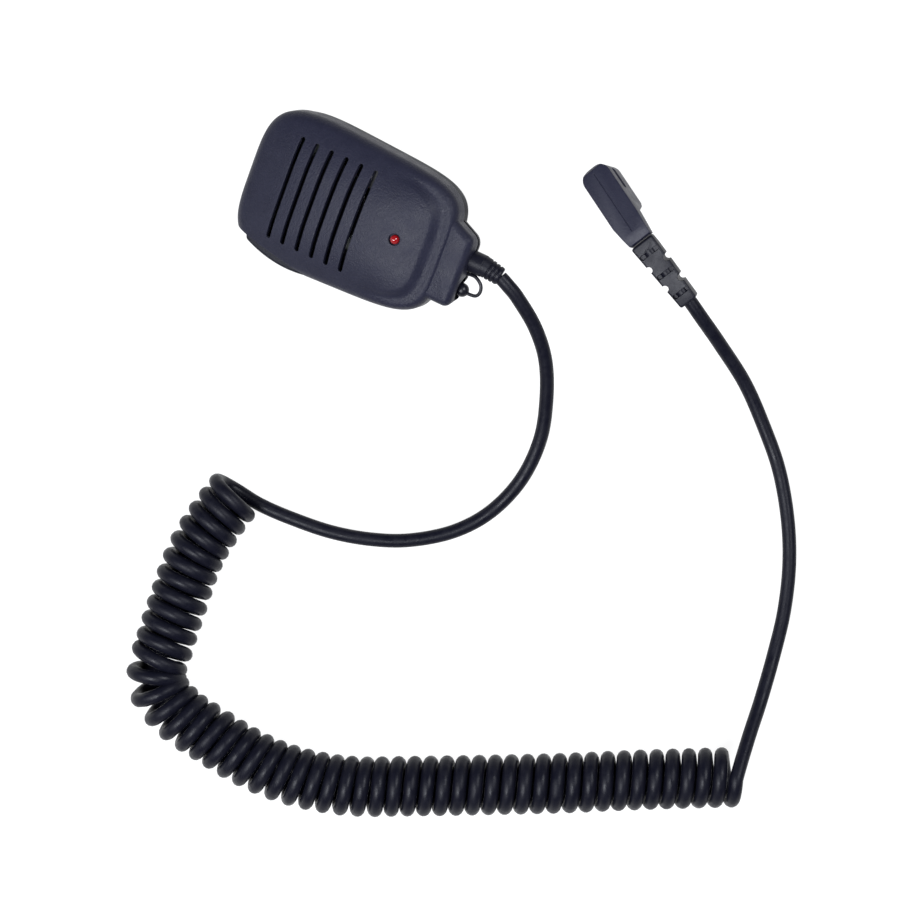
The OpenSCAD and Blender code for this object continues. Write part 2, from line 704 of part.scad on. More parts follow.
module plug_insulators() color("#111113") in_plug()
    for (p = [[large_y, large_pin], [small_y, small_pin]], z = [0.42, 0.68])
        translate([pin_x, p[0], -plug_h / 2]) {
            r = p[1][0] / 2;
            l = p[1][1];
            ring(r, r - 0.3, -l * (z + 0.06), -l * z);
        }

// The segmented relief: a tapering block, notched at the sides and slotted across above and below its core
module plug_strain_relief() color("#15161b") in_plug()
    translate([0.2, -plug_l / 2 - 0.4, plug_h / 2 - plug_thin / 2 - 0.5]) rotate(plug_relief_bend) {
        slots_y = [-4.3, -12.7, -20.8];
        difference() {
            intersection() {
                translate([0, 0, -10]) linear_extrude(20) polygon([[-4.3, 0], [4.3, 0],
                    [3.2, -plug_relief_l], [-3.2, -plug_relief_l]]);
                translate([-10, 0, 0]) rotate([90, 0, 90]) linear_extrude(20) polygon([[0, -1.4],
                    [0, 2], [-plug_relief_l, 2.8], [-plug_relief_l, -2.8], [-3, -2.4]]);
            }
            for (y = [-8.8, -16.8], side = [-1, 1])
                translate([side * (4.2 + 0.05 * y), y, -10]) cylinder(r = 1.2, h = 20);
            for (y = slots_y)
                translate([0, y, 0]) cube([6.4 + 0.08 * y, 1.5, 12], center = true);
        }
        translate([0, -3, 0]) rotate([90, 0, 0]) rod(2.2, 0, plug_relief_l - 4);
        for (y = slots_y) translate([0, y, 0]) cube([6.8 + 0.08 * y, 1.6, 2.6], center = true);
    }

front_shell();
rear_shell();
shell_gasket();
grille_cloth();
speaker_gasket();
speaker_frame();
speaker_magnet();
speaker_cone();
speaker_leads();
mic_boot();
mic_capsule();
mic_leads();
circuit_board();
board_parts();
board_screws();
led_lens();
led_legs();
ptt_switch();
ptt_plunger();
ptt_button();
ptt_pin();
earphone_jack();
jack_cap();
cap_tether();
case_screws();
clip_stud();
clip_washer();
clip_screw();
clip_base();
clip_jaw();
clip_pin();
clip_spring();
strain_relief();
cord_clamp();
clamp_screws();
cord_tail();
cord_cores();
head_cord();
coil_cord();
plug_cord();
plug_strain_relief();
plug_body();
plug_pin_large();
plug_pin_small();
plug_insulators();
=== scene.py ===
"""The looks of the hand microphone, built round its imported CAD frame. Lengths are millimetres,
except for the room's, and piece() turns them into metres."""

import json
import math
import random

import bmesh
import bpy
from mathutils import Euler, Matrix, Vector


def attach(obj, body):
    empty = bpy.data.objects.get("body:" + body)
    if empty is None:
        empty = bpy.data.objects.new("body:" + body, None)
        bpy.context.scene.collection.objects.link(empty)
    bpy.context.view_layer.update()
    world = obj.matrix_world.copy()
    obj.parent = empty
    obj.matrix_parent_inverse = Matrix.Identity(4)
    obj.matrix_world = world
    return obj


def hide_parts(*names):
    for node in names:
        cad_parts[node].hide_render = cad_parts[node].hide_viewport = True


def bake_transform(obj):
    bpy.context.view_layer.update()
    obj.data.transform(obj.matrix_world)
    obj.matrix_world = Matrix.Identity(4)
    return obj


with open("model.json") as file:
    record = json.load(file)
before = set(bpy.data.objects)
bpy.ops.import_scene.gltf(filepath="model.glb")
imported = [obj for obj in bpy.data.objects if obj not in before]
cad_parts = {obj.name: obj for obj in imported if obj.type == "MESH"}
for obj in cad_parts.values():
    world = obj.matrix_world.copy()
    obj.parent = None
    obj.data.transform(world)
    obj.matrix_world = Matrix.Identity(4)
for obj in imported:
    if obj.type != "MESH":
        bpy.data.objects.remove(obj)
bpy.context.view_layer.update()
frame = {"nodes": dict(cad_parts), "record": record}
nodes = frame["nodes"]
scene = bpy.context.scene
random.seed(7)

MM = 0.001
HEAD_AT, HEAD_TILT = (-0.1, 10, 23.3), (-16, -17, 0)
PLUG_AT, PLUG_TILT = (33, -71.9, 17.9), (-15, -19, -31.4)


def frame_of(at, tilt):
    """The place of a part that stands at a point in mm, turned about X, Y and Z by degrees."""
    turn = Euler([math.radians(a) for a in tilt], "XYZ").to_matrix().to_4x4()
    return Matrix.Translation(Vector(at)) @ turn


HEAD = frame_of(HEAD_AT, HEAD_TILT)
PLUG = frame_of(PLUG_AT, PLUG_TILT)

# ---------------------------------------------------------------- camera and room, in metres

RIGHT, UP = Vector((0.3616, -0.932, 0)), Vector((0.932, 0.3616, 0))
AIM = Vector((HEAD_AT[0] - 61.65, HEAD_AT[1] - 59.05, 0)) * MM


def room_point(right, up, height):
    """A point given from where the camera looks: to its right, up in its view, and above the floor."""
    return AIM + RIGHT * right + UP * up + Vector((0, 0, height))


camera = bpy.data.objects.new("camera", bpy.data.cameras.new("camera"))
scene.collection.objects.link(camera)
camera.location = room_point(0, 0, 1.0)
camera.rotation_euler = (0, 0, math.atan2(RIGHT.y, RIGHT.x))
camera.data.lens = 120
camera.data.sensor_width = 36
camera.data.clip_start = 0.05
camera.data.clip_end = 20
scene.camera = camera
scene.view_settings.view_transform = "Standard"


def softbox(name, place, size, power):
    """A square area light that faces the middle of the picture, a little above the table."""
    light = bpy.data.lights.new(name, "AREA")
    light.shape = "RECTANGLE"
    light.size = light.size_y = size
    light.energy = power
    light.color = (0.92, 0.945, 1)
    lamp = bpy.data.objects.new(name, light)
    scene.collection.objects.link(lamp)
    lamp.location = room_point(*place)
    lamp.rotation_euler = (lamp.location - AIM - Vector((0, 0, 0.01))).to_track_quat("Z", "Y").to_euler()


softbox("left", (-0.5, -0.5, 1.35), 0.6, 26)
softbox("right", (0.7, 0.3, 1.15), 0.5, 13)
softbox("far_left", (-0.85, -0.25, 0.85), 0.7, 6)

world = bpy.data.worlds.new("room")
scene.world = world
world.use_nodes = True
world.node_tree.nodes["Background"].inputs["Color"].default_value = (0.85, 0.9, 1, 1)
world.node_tree.nodes["Background"].inputs["Strength"].default_value = 0.15

# ---------------------------------------------------------------- materials


MIX_A, MIX_B, MIX_RESULT = 6, 7, 2  # a Mix node's sockets for colours
FINE_SHARE = 0.6  # of a surface's change of shade, the rest being slow


def new_node(tree, kind, **values):
    n = tree.nodes.new(kind)
    for key, value in values.items():
        if key in n.inputs:
            n.inputs[key].default_value = value
        else:
            setattr(n, key, value)
    return n


def surface(name, color, rough, metallic=0.0, grain=0.5, bump=0.25, mottle=0.25, patch=6.0,
            rough_spread=0.08, edge=0.0, specular=0.5, coat=0.0, stretch=(1, 1, 1)):
    """A procedural surface: fine grain as bump, slow patches of shade and gloss, and softened edges.
    grain, patch and edge are millimetres."""
    made = bpy.data.materials.new(name)
    made.use_nodes = True
    tree = made.node_tree
    link = tree.links.new
    shader = tree.nodes["Principled BSDF"]
    shader.inputs["Metallic"].default_value = metallic
    shader.inputs["Specular IOR Level"].default_value = specular
    shader.inputs["Coat Weight"].default_value = coat
    where = new_node(tree, "ShaderNodeTexCoord")
    scale = new_node(tree, "ShaderNodeMapping")
    scale.inputs["Scale"].default_value = stretch
    link(where.outputs["Object"], scale.inputs["Vector"])
    fine = new_node(tree, "ShaderNodeTexNoise", Scale=1000 / grain, Detail=3.0, Roughness=0.6)
    slow = new_node(tree, "ShaderNodeTexNoise", Scale=1000 / patch, Detail=4.0, Roughness=0.65)
    link(scale.outputs["Vector"], fine.inputs["Vector"])
    link(scale.outputs["Vector"], slow.inputs["Vector"])
    shade = new_node(tree, "ShaderNodeMix", data_type="RGBA")
    shade.inputs[MIX_A].default_value = [c * (1 - mottle) for c in color] + [1]
    shade.inputs[MIX_B].default_value = [min(1, c * (1 + mottle)) for c in color] + [1]
    blend = new_node(tree, "ShaderNodeMath", operation="MULTIPLY_ADD")
    blend.inputs[1].default_value = FINE_SHARE
    link(fine.outputs["Fac"], blend.inputs[0])
    part = new_node(tree, "ShaderNodeMath", operation="MULTIPLY")
    part.inputs[1].default_value = 1 - FINE_SHARE
    link(slow.outputs["Fac"], part.inputs[0])
    link(part.outputs[0], blend.inputs[2])
    link(blend.outputs[0], shade.inputs[0])
    link(shade.outputs[MIX_RESULT], shader.inputs["Base Color"])
    gloss = new_node(tree, "ShaderNodeMapRange")
    gloss.inputs["From Min"].default_value = 0.3
    gloss.inputs["From Max"].default_value = 0.7
    gloss.inputs["To Min"].default_value = max(0.03, rough - rough_spread)
    gloss.inputs["To Max"].default_value = rough + rough_spread
    link(slow.outputs["Fac"], gloss.inputs["Value"])
    link(gloss.outputs["Result"], shader.inputs["Roughness"])
    relief = new_node(tree, "ShaderNodeBump", Strength=bump, Distance=grain * MM * 0.35)
    link(fine.outputs["Fac"], relief.inputs["Height"])
    if edge:
        soft = new_node(tree, "ShaderNodeBevel", samples=6, Radius=edge * MM)
        link(soft.outputs["Normal"], relief.inputs["Normal"])
    link(relief.outputs["Normal"], shader.inputs["Normal"])
    return made


def set_input(made, **values):
    for key, value in values.items():
        made.node_tree.nodes["Principled BSDF"].inputs[key.replace("_", " ")].default_value = value
    return made


FINISH = {
    "case_plastic": surface("case_plastic", (0.0125, 0.013, 0.025), 0.42, grain=0.6, bump=0.9,
                            mottle=0.45, edge=0.3, specular=0.17),
    # The case plastic again, darker and less shiny, for the rear shell: painted shade on its sides, which
    # the floor lights at a grazing angle.
    "case_plastic_painted_shade": surface("case_plastic_painted_shade", (0.0045, 0.0048, 0.0095), 0.45, grain=0.6, bump=0.6,
                            mottle=0.4, edge=0.3, specular=0.12),
    "key_plastic": surface("key_plastic", (0.005, 0.0055, 0.011), 0.38, grain=0.5, bump=0.3, edge=0.4,
                           specular=0.2),
    "clip_plastic": surface("clip_plastic", (0.010, 0.011, 0.018), 0.42, grain=0.4, bump=0.2, edge=0.3),
    "black_rubber": surface("black_rubber", (0.012, 0.012, 0.014), 0.7, grain=0.3, bump=0.3),
    "black_foam": surface("black_foam", (0.02, 0.02, 0.022), 0.95, grain=0.35, bump=1.0, mottle=0.5),
    # Black cloth, made darker and duller than the cloth itself: partly its own colour, partly painted
    # shade deep inside the slots.
    "grille_cloth": surface("grille_cloth", (0.002, 0.002, 0.003), 0.95, grain=0.2, bump=1.0,
                            mottle=0.5, specular=0.05, stretch=(1, 1, 0.2)),
    "pressed_steel": surface("pressed_steel", (0.45, 0.45, 0.46), 0.33, metallic=1.0, grain=0.2,
                             bump=0.12, mottle=0.06, edge=0.15, stretch=(1, 0.15, 1)),
    "magnet_steel": surface("magnet_steel", (0.27, 0.27, 0.29), 0.3, metallic=1.0, grain=0.2,
                            bump=0.12, mottle=0.08, edge=0.2),
    "cone_paper": surface("cone_paper", (0.03, 0.03, 0.034), 0.85, grain=0.3, bump=0.7, mottle=0.4),
    "red_wire": surface("red_wire", (0.42, 0.025, 0.02), 0.4, grain=0.4, bump=0.1, mottle=0.1),
    "green_wire": surface("green_wire", (0.02, 0.2, 0.05), 0.4, grain=0.4, bump=0.1, mottle=0.1),
    "bright_metal": surface("bright_metal", (0.62, 0.62, 0.64), 0.2, metallic=1.0, grain=0.15,
                            bump=0.08, mottle=0.05, edge=0.15),
    # A green darker than the board's own: partly painted shade where the board shows at the slots' ends.
    "board_green": surface("board_green", (0.002, 0.010, 0.005), 0.4, grain=0.8, bump=0.1, coat=0.3),
    "chip_black": surface("chip_black", (0.018, 0.018, 0.02), 0.5, grain=0.2, bump=0.3, edge=0.1),
    "screw_steel": surface("screw_steel", (0.5, 0.5, 0.52), 0.28, metallic=1.0, grain=0.2, bump=0.1,
                           mottle=0.06, edge=0.12),
    "dark_screw": surface("dark_screw", (0.04, 0.04, 0.045), 0.35, metallic=0.8, grain=0.2, bump=0.2,
                          edge=0.12),
    "red_lens": surface("red_lens", (0.24, 0.0015, 0.004), 0.07, grain=2.0, bump=0.02, mottle=0.08,
                        rough_spread=0.02, coat=0.6),
    "switch_black": surface("switch_black", (0.018, 0.018, 0.02), 0.45, grain=0.3, bump=0.2, edge=0.15),
    "plunger_plastic": surface("plunger_plastic", (0.4, 0.4, 0.42), 0.4, grain=0.3, bump=0.1, edge=0.15),
    "jack_black": surface("jack_black", (0.02, 0.02, 0.022), 0.4, grain=0.3, bump=0.2, edge=0.15),
    "soft_rubber": surface("soft_rubber", (0.004, 0.004, 0.008), 0.34, grain=0.35, bump=0.15, edge=0.2,
                           specular=0.3),
    "spring_steel": surface("spring_steel", (0.5, 0.5, 0.52), 0.25, metallic=1.0, grain=0.2, bump=0.1),
    "relief_rubber": surface("relief_rubber", (0.0045, 0.0047, 0.0095), 0.42, grain=0.45, bump=0.3,
                             mottle=0.35, edge=0.25, specular=0.17),
    "cord_jacket": surface("cord_jacket", (0.0038, 0.004, 0.0085), 0.42, grain=0.7, bump=0.22,
                           mottle=0.35, patch=3.0, rough_spread=0.14, specular=0.15),
    "plug_plastic": surface("plug_plastic", (0.0125, 0.013, 0.0255), 0.4, grain=0.5, bump=0.4,
                            mottle=0.35, edge=0.35, specular=0.2),
    "plated_brass": surface("plated_brass", (0.66, 0.62, 0.5), 0.18, metallic=1.0, grain=0.15,
                            bump=0.06, mottle=0.05, edge=0.1),
    "insulator_black": surface("insulator_black", (0.01, 0.01, 0.01), 0.35, grain=0.3, bump=0.1),
}
set_input(FINISH["red_lens"], Emission_Color=(1, 0.02, 0.02, 1), Emission_Strength=0.03,
          Transmission_Weight=0.1)

for part in frame["record"]["subparts"]:
    shown = nodes[part["node"]]
    shown.data.materials.clear()
    shown.data.materials.append(FINISH[part["material_slot"]])

# ---------------------------------------------------------------- mesh helpers


def mesh_of(name, points, faces):
    mesh = bpy.data.meshes.new(name)
    mesh.from_pydata([tuple(p) for p in points], [], faces)
    mesh.update()
    made = bpy.data.objects.new(name, mesh)
    scene.collection.objects.link(made)
    return made


def loft(name, rings):
    """A closed solid through equal rings of points, with its end rings as caps."""
    n, m = len(rings[0]), len(rings)
    points = [p for ring in rings for p in ring]
    faces = [
        (j * n + i, j * n + (i + 1) % n, (j + 1) * n + (i + 1) % n, (j + 1) * n + i)
        for j in range(m - 1)
        for i in range(n)
    ]
    faces += [tuple(range(n - 1, -1, -1)), tuple(range((m - 1) * n, m * n))]
    return mesh_of(name, points, faces)


def lathe(name, profile, sides=48):
    """A solid turned about Z from a profile of (radius, z), with flat ends."""
    return loft(name, [[(r * math.cos(a), r * math.sin(a), z)
                        for a in (2 * math.pi * k / sides for k in range(sides))]
                       for r, z in profile])


def prism(name, outline, low, high):
    """An outline of [x, y], anticlockwise, drawn up from low to high."""
    return loft(name, [[(x, y, z) for x, y in outline] for z in (low, high)])


def rod(name, r, low, high, sides=48):
    return lathe(name, [(r, low), (r, high)], sides)


def arc(x, y, rx, ry, start, step, count):
    """Points round (x, y), from an angle of start degrees on in steps."""
    return [(x + rx * math.cos(a), y + ry * math.sin(a))
            for a in (math.radians(start + step * k) for k in range(count))]


def oval(half, y, rx, ry, step):
    """The outline of a long slot across X, with round ends."""
    count = 180 // step + 1
    return arc(half, y, rx, ry, -90, step, count) + arc(-half, y, rx, ry, 90, step, count)


def move(made, matrix):
    made.data.transform(matrix)
    return made


def settle(made):
    """Gives the object the mesh that its modifiers make, and drops them."""
    scene.view_layers[0].update()
    shaped = made.evaluated_get(bpy.context.evaluated_depsgraph_get())
    mesh = bpy.data.meshes.new_from_object(shaped)
    made.modifiers.clear()
    made.data = mesh
    return made


def combine(made, other, how):
    step = made.modifiers.new("bool", "BOOLEAN")
    step.operation, step.object, step.solver = how, other, "MANIFOLD"
    settle(made)
    bpy.data.objects.remove(other)
    return made


def cut(made, *others):
    for other in others:
        combine(made, other, "DIFFERENCE")
    return made


def join(made, *others):
    for other in others:
        combine(made, other, "UNION")
    return made


def mirrored(made):
    """The same shape turned over from above the parting plane to below it."""
    made.data.transform(Matrix.Scale(-1, 4, (0, 0, 1)))
    made.data.flip_normals()
    return made


def smooth_curve(route, steps):
    """Points of the smooth curve through a route."""
    q = [Vector(p) for p in route]
    made = []
    for i in range(len(q) - 1):
        a, b, c, d = q[max(i - 1, 0)], q[i], q[i + 1], q[min(i + 2, len(q) - 1)]
        for s in range(steps):
            t = s / steps
            made.append(0.5 * (2 * b + (c - a) * t + (2 * a - 5 * b + 4 * c - d) * t * t
                               + (3 * b - a - 3 * c + d) * t * t * t))
    return made + [q[-1]]


def tube(name, points, r, sides=12):
    """A round tube along a line of points, with flat ends."""
    rings = []
    across = (points[1] - points[0]).orthogonal().normalized()
    for i, p in enumerate(points):
        along = (points[min(i + 1, len(points) - 1)] - points[max(i - 1, 0)]).normalized()
        across = (across - along * across.dot(along)).normalized()
        other = along.cross(across)
        rings.append([p + r * (math.cos(a) * across + math.sin(a) * other)
                      for a in (2 * math.pi * k / sides for k in range(sides))])
    return loft(name, rings)


def bevel(made, width, segments, angle):
    step = made.modifiers.new("bevel", "BEVEL")
    step.width, step.segments = width, segments
    step.limit_method, step.angle_limit = "ANGLE", math.radians(angle)
    return settle(made)


def piece(made, where, body, slot, replaces=(), smooth=32):
    """Puts a finished shape in its place, in metres, gives it to its body with its slot's finish, and
    hides the CAD nodes it replaces.
    """
    made.data.transform(Matrix.Scale(MM, 4) @ where)
    for face in made.data.polygons:
        face.use_smooth = True
    made.data.set_sharp_from_angle(angle=math.radians(smooth))
    made.data.materials.clear()
    made.data.materials.append(FINISH[slot])
    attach(made, body)
    if replaces:
        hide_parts(*replaces)
    return made


# ---------------------------------------------------------------- case

HALF_W, HALF_L, MID = 24.9, 36.7, (-0.4, -2)
TAPER, END_ROUND, SHOULDER_ROUND = 0.08, 4.1, 4.8
LUG_X, LUG_Y, LUG_Z, LUG_FLARE = (-14.8, 10.2), -45.6, (-5.6, 8), 5.5
VALLEY_IN, VALLEY_HALF = 4.2, 3.3
SLOTS, SLOT_TOP, SLOT_PITCH, SLOT_L, SLOT_W = 6, 18.9, 5.45, 35.4, 1.6
LAMP_Y = -22.5
KEY_Y, KEY_Z, KEY_IN = (3, 29.6), (-6.8, 5.5), (-22.6, -18.4)
KEY_GAP, KEY_BULGE = 0.6, 1.7
JACK_X, JACK_R, JACK_RECESS_R = -8.8, 3, 4.6
RELIEF_X, RELIEF_R = 1.3, 3.65
LAMP_R = 1.5
EDGE_TURN, ROUND_STEPS, CROWN_STEPS, OUTLINE_POINTS = 68, 12, 22, 288
FAR = 60  # past the end of anything it cuts


def power(value, n):
    """A term of a rounded rectangle of exponent n."""
    return math.copysign(abs(value) ** (2 / n), value)


def outline(inset):
    """A ring of the case's outline, drawn in by inset."""
    ring = []
    for k in range(OUTLINE_POINTS):
        a = 2 * math.pi * k / OUTLINE_POINTS
        n = END_ROUND if math.sin(a) > 0 else SHOULDER_ROUND
        v = power(math.sin(a), n)
        ring.append((MID[0] + (HALF_W - inset) * (1 + TAPER * v) * power(math.cos(a), n),
                     MID[1] + (HALF_L - inset) * v))
    return ring


def smoothstep(t):
    t = max(0, min(1, t))
    return t * t * (3 - 2 * t)


def pillow(name, inset, low, edge, top, crown, flat=2.6, valley=0.0):
    """A pillow: side wall, rounded edge, then a face crowned towards its middle. A valley of that depth
    can run along its rounded edge at the cable end, fading out at both sides."""
    turn = math.radians(EDGE_TURN)
    edge_in = inset + edge * (1 - math.cos(turn))
    edge_top = top - crown * ((HALF_W - edge_in) / HALF_W) ** 2
    arc_z = edge_top - edge * math.sin(turn)
    rings = [[(x, y, low) for x, y in outline(inset)]]
    for k in range(ROUND_STEPS + 1):
        a = turn * k / ROUND_STEPS
        z = arc_z + edge * math.sin(a)
        rings.append([(x, y, z) for x, y in outline(inset + edge * (1 - math.cos(a)))])
    brim = outline(edge_in)
    steps = [k / 100 for k in range(1, 20)] + [0.2 + 0.8 * k / CROWN_STEPS for k in range(CROWN_STEPS)]
    for k in steps:
        t = 1 - k
        z = edge_top + (top - edge_top) * (1 - t**flat)
        rings.append([(MID[0] + (x - MID[0]) * t, MID[1] + (y - MID[1]) * t, z) for x, y in brim])
    if valley:
        shaped = []
        for k, ring in enumerate(rings):
            inward = (edge * (1 - math.cos(turn * (k - 1) / ROUND_STEPS)) if k <= ROUND_STEPS + 1
                      else edge_in + steps[k - ROUND_STEPS - 2] * (HALF_L - edge_in))
            across = max(0, 1 - ((inward - VALLEY_IN) / VALLEY_HALF) ** 2) ** 2
            shaped.append([(x, y, z - valley * across * valley_reach(x, y)) for x, y, z in ring])
        rings = shaped
    return loft(name, rings)


def valley_reach(x, y):
    """How much of the valley is there: all at the cable end, none past the case's two lower corners."""
    return smoothstep((-y - 14) / 18)


def ball_hull(name, balls):
    """The tight skin round a set of balls, given as (centre, radius)."""
    points = []
    for centre, r in balls:
        for i in range(1, 16):
            for j in range(32):
                a, b = math.pi * i / 16, 2 * math.pi * j / 32
                points.append(Vector(centre) + r * Vector((math.sin(a) * math.cos(b),
                                                           math.sin(a) * math.sin(b), math.cos(a))))
    shape = bmesh.new()
    for p in points:
        shape.verts.new(p)
    out = bmesh.ops.convex_hull(shape, input=shape.verts)
    inside = {v for v in out["geom_interior"] + out["geom_unused"] if isinstance(v, bmesh.types.BMVert)}
    bmesh.ops.delete(shape, geom=list(inside), context="VERTS")
    bmesh.ops.recalc_face_normals(shape, faces=shape.faces)
    mesh = bpy.data.meshes.new(name)
    shape.to_mesh(mesh)
    shape.free()
    made = bpy.data.objects.new(name, mesh)
    scene.collection.objects.link(made)
    return made


def lug(name):
    """The block at the cable end that holds the jack and the cord. It widens towards the case."""
    balls = []
    for r, z in ((4.4, LUG_Z[0] + 4.4), (2.6, LUG_Z[1] - 2.6)):
        for back in (0, 1):
            y = LUG_Y + r + 12 * back
            balls += [((LUG_X[0] + r, y, z), r), ((LUG_X[1] - r + LUG_FLARE * back, y, z), r)]
    return ball_hull(name, balls)


ALONG_Y = Matrix.Rotation(math.radians(-90), 4, "X")


def bore(x, y, r, length):
    """A round cut in the lug, along Y."""
    return move(rod("bore", r, 0, length), Matrix.Translation((x, y, 0)) @ ALONG_Y)


def half_space(z_low, z_high):
    return prism("half", [(-FAR, -FAR), (FAR, -FAR), (FAR, FAR), (-FAR, FAR)], z_low, z_high)


def key_window():
    return prism("window", [(-FAR, KEY_Y[0] - KEY_GAP), (KEY_IN[0] + KEY_GAP, KEY_Y[0] - KEY_GAP),
                            (KEY_IN[1] + 1 + KEY_GAP, KEY_Y[1] + KEY_GAP), (-FAR, KEY_Y[1] + KEY_GAP)],
                 KEY_Z[0] - KEY_GAP, KEY_Z[1] + KEY_GAP)


def slot_shape(y):
    return prism("slot", oval(SLOT_L / 2 - SLOT_W / 2, y, SLOT_W / 2, SLOT_W / 2, 15), 7, 30)


def lug_cuts():
    return [bore(JACK_X, LUG_Y - 1, JACK_RECESS_R, 4), bore(RELIEF_X, LUG_Y - 1, RELIEF_R, 6.2),
            bore(JACK_X, LUG_Y, JACK_R, 9)]


shell = pillow("front_shell_skin", 0, 0.75, 5, 14, 5.7, valley=1.1)
join(shell, cut(lug("lug_top"), half_space(-FAR, 0.75)))
cut(shell, pillow("hollow", 2, -1, 3.8, 12, 5.7))
cut(shell, *[slot_shape(SLOT_TOP - k * SLOT_PITCH) for k in range(SLOTS)])
cut(shell, move(rod("lamp_hole", 1.55, 0, 30), Matrix.Translation((0, LAMP_Y, 0))),
    move(rod("lamp_recess", 1.95, 12.0, 30), Matrix.Translation((0, LAMP_Y, 0))))
cut(shell, prism("flat", [(-24.95, 4.4), (-18.6, 36), (-FAR, 36), (-FAR, -8)], KEY_Z[1], 30),
    prism("flat_low", [(-20, 29), (-18.6, 36), (-FAR, 36), (-FAR, 29)], -1, 30), key_window())
cut(shell, *lug_cuts())
piece(shell, HEAD, "case", "case_plastic", ["front_shell"], smooth=28)

back = pillow("rear_shell_skin", 0.5, 0.5, 6.5, 9.5, 0.6, flat=2.0)
join(back, mirrored(cut(lug("lug_low"), half_space(-0.5, FAR))))
cut(back, pillow("hollow_low", 2.5, -1, 4.7, 7.5, 0.6, flat=2.0))
mirrored(back)
cut(back, key_window(), *lug_cuts())
POSTS = [(-14, 29), (14, 29), (-15.5, -28), (15.5, -28)]
cut(back, *[move(rod("sink", 2.4, -12, -6.5), Matrix.Translation((x, y, 0))) for x, y in POSTS])
cut(back, rod("stud_hole", 4.05, -12, -5))
piece(back, HEAD, "case", "case_plastic", ["rear_shell"], smooth=28)
# The rear shell takes the darker copy of the case plastic: painted shade.
back.data.materials[0] = FINISH["case_plastic_painted_shade"]

# lamp: a round-nosed lens
NOSE = [math.radians(6 * k) for k in range(1, 16)]
lens = lathe("lamp_lens", [(LAMP_R, 8), (LAMP_R, 12.4)]
             + [(max(0.02, LAMP_R * math.cos(a)), 12.4 + LAMP_R * math.sin(a)) for a in NOSE])
piece(move(lens, Matrix.Translation((0, LAMP_Y, 0))), HEAD, "case", "red_lens", ["led_lens"], smooth=50)

# talk key
key_out = [(-HALF_W - KEY_BULGE + 0.0128 * (y - 12) ** 2, y)
           for y in (KEY_Y[0] + (KEY_Y[1] - 1 - KEY_Y[0]) * k / 24 for k in range(25))]
key_ring = key_out + [(KEY_IN[1] - 1.4, KEY_Y[1]), (KEY_IN[1], KEY_Y[1]), (KEY_IN[0], KEY_Y[0])]
key = prism("talk_key", key_ring[::-1], KEY_Z[0], KEY_Z[1] - 0.5)
bevel(key, 0.9, 4, 40)
join(key, prism("key_post", [(-20.6, 18.4), (-16.6, 18.4), (-16.6, 21.6), (-20.6, 21.6)], -1.6, 1.6))
piece(key, HEAD, "ptt_key", "key_plastic", ["ptt_button"], smooth=25)

# ---------------------------------------------------------------- strain relief at the head

ROUND = [math.radians(15 * k) for k in range(1, 6)]
collar = lathe("collar", [(RELIEF_R, -5)] + [(RELIEF_R, 4.0)]
               + [(RELIEF_R - 0.8 + 0.8 * math.cos(a), 4.0 + 0.8 * math.sin(a)) for a in ROUND], 64)
move(collar, Matrix.Rotation(math.radians(90), 4, "X"))
boot = [(3.45, -1.2), (3.4, 1.0)]
for k in range(3):
    y0, r = 1.35 + 1.45 * k, 3.35 - 0.13 * k
    boot += [(r - 0.25, y0 - 0.25), (r - 0.25, y0), (r - 0.06, y0 + 0.1), (r, y0 + 0.25), (r, y0 + 0.95),
             (r - 0.06, y0 + 1.1)]
boot += [(2.9, 5.6), (2.75, 5.8)]
tail = lathe("boot", boot, 64)
bend = Euler([math.radians(a) for a in (12, 0, -11)], "XYZ").to_matrix().to_4x4()
move(tail, Matrix.Translation((0, -4.8, 0)) @ bend @ Matrix.Rotation(math.radians(90), 4, "X"))
join(collar, tail)
collar.name = "head_strain_relief"
move(collar, Matrix.Translation((RELIEF_X, LUG_Y, 0)))
piece(collar, HEAD, "case", "relief_rubber", ["strain_relief"], smooth=40)

# ---------------------------------------------------------------- the cap's tether

loop = [(-3.4, LUG_Y + 0.3, 0), (-3, LUG_Y - 1, 0.2), (-3, LUG_Y - 3.2, 0.5), (-4.6, LUG_Y - 5.6, 0.5),
        (-7, LUG_Y - 6.2, 0.3), (-8.8, LUG_Y - 5, 0.1), (-9.2, LUG_Y - 1.6, 0)]
tether = tube("tether", smooth_curve(loop, 8), 0.58)
tether.data.transform(Matrix.Scale(MM, 4) @ HEAD)
tether.data.materials.append(FINISH["soft_rubber"])
for face in tether.data.polygons:
    face.use_smooth = True
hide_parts("cap_tether")
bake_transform(tether)

# ---------------------------------------------------------------- plug

PLUG_L, PLUG_W, PLUG_H, PLUG_THIN, PLUG_ROUND = 29.5, 10.3, 10.5, 3.8, 4.2


def plug_plan():
    w, y0, y1, c = PLUG_W / 2, -PLUG_L / 2, PLUG_L / 2, PLUG_ROUND
    ring = [(-w + 1.2, y0), (w - 0.6, y0), (w, y0 + 8)]
    ring += arc(w - c, y1 - c, c, c, 0, 9, 11) + arc(-w + c, y1 - c, c, c, 90, 9, 11)
    return ring + [(-w, y0 + 8)]


def plug_side():
    y0, y1, z0, z1 = -PLUG_L / 2, PLUG_L / 2, -PLUG_H / 2, PLUG_H / 2
    return [(y0, z1 - 0.8), (y0, z1 - PLUG_THIN), (-6, z1 - PLUG_THIN), (-4, z0 + 1.8), (-2.4, z0),
            (y1 - 1.4, z0), (y1, z0 + 1.6), (y1, z1 - 1.2), (y1 - 1, z1), (y0 + 3, z1)]


